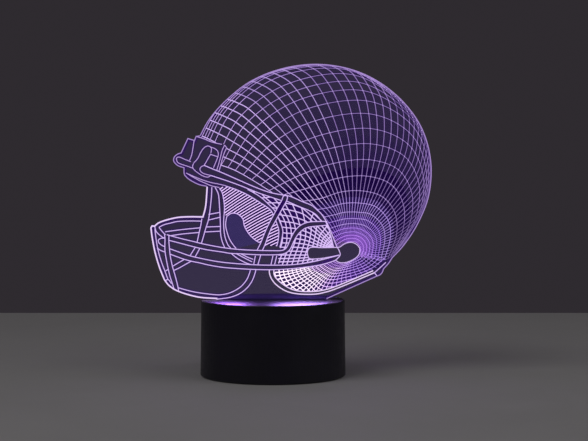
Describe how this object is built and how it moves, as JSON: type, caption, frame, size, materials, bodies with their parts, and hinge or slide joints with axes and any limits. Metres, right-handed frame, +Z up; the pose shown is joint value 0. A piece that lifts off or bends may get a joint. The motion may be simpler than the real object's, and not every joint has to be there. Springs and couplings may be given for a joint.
{
  "type": "edge-lit acrylic night lamp",
  "caption": "Clear acrylic plate cut and engraved as a football helmet, standing in the slot of a round black LED base.",
  "frame": {"origin": "on the axis of the round base, in the plane that the rubber feet stand on", "axes": "+Z up, +X to the right as the engraved face is seen, +Y to the rear, where the button and the USB socket are"},
  "size_m": [0.1683, 0.0876, 0.1865],
  "materials": {
    "base_plastic": "black ABS, satin",
    "button_plastic": "black ABS, polished",
    "acrylic": "clear cast acrylic, polished faces, lit violet from its edge",
    "line_light": "engraved lines that glow",
    "white_plastic": "white ABS",
    "white_board": "white solder mask",
    "green_board": "green solder mask",
    "led_body": "moulded LED package",
    "chip_black": "moulded package",
    "foot_rubber": "soft rubber",
    "steel": "zinc plated",
    "nickel": "nickel plated",
    "cell_wrap": "printed film over a steel can",
    "wire_red": "PVC",
    "wire_black": "PVC",
    "wire_green": "PVC",
    "wire_blue": "PVC"
  },
  "bodies": {
    "base": {"base_housing": "base_plastic", "bottom_cover": "base_plastic", "battery_1": "cell_wrap", "battery_2": "cell_wrap", "battery_3": "cell_wrap", "contact_spring_1": "nickel", "contact_spring_2": "nickel", "contact_spring_3": "nickel", "contact_bridge_left": "nickel", "contact_lead_left": "nickel", "contact_bridge_right": "nickel", "contact_lead_right": "nickel", "led_holder": "white_plastic", "led_board": "white_board", "led_1": "led_body", "led_2": "led_body", "led_3": "led_body", "led_4": "led_body", "led_5": "led_body", "led_6": "led_body", "control_board": "green_board", "driver_chip": "chip_black", "filter_capacitor": "chip_black", "resistor_1": "chip_black", "resistor_2": "chip_black", "usb_socket": "steel", "switch_body": "chip_black", "cover_screw_1": "steel", "cover_screw_2": "steel", "cover_screw_3": "steel", "cover_screw_4": "steel", "rubber_foot_1": "foot_rubber", "rubber_foot_2": "foot_rubber", "rubber_foot_3": "foot_rubber", "rubber_foot_4": "foot_rubber", "holder_screw_1": "steel", "holder_screw_2": "steel", "led_board_screw_1": "steel", "led_board_screw_2": "steel", "board_screw_1": "steel", "board_screw_2": "steel", "battery_wire_red": "wire_red", "battery_wire_black": "wire_black", "led_wire_red": "wire_red", "led_wire_green": "wire_green", "led_wire_blue": "wire_blue"},
    "plate": {"acrylic_plate": "acrylic"},
    "button": {"power_button": "button_plastic", "switch_plunger": "white_plastic"},
    "door": {"battery_door": "base_plastic"}
  },
  "joints": [
    {"name": "plate_lift", "type": "slide", "parent": "base", "child": "plate", "axis": [0, 0, 1], "range_m": [0, 0.03]},
    {"name": "button_press", "type": "slide", "parent": "base", "child": "button", "axis": [0, -1, 0], "range_m": [0, 0.001], "stiffness_N_per_m": 1000},
    {"name": "battery_door_hinge", "type": "hinge", "parent": "base", "child": "door", "pos_m": [0, 0.0222, 0.0012], "axis": [1, 0, 0], "range_deg": [0, 80]}
  ]
}
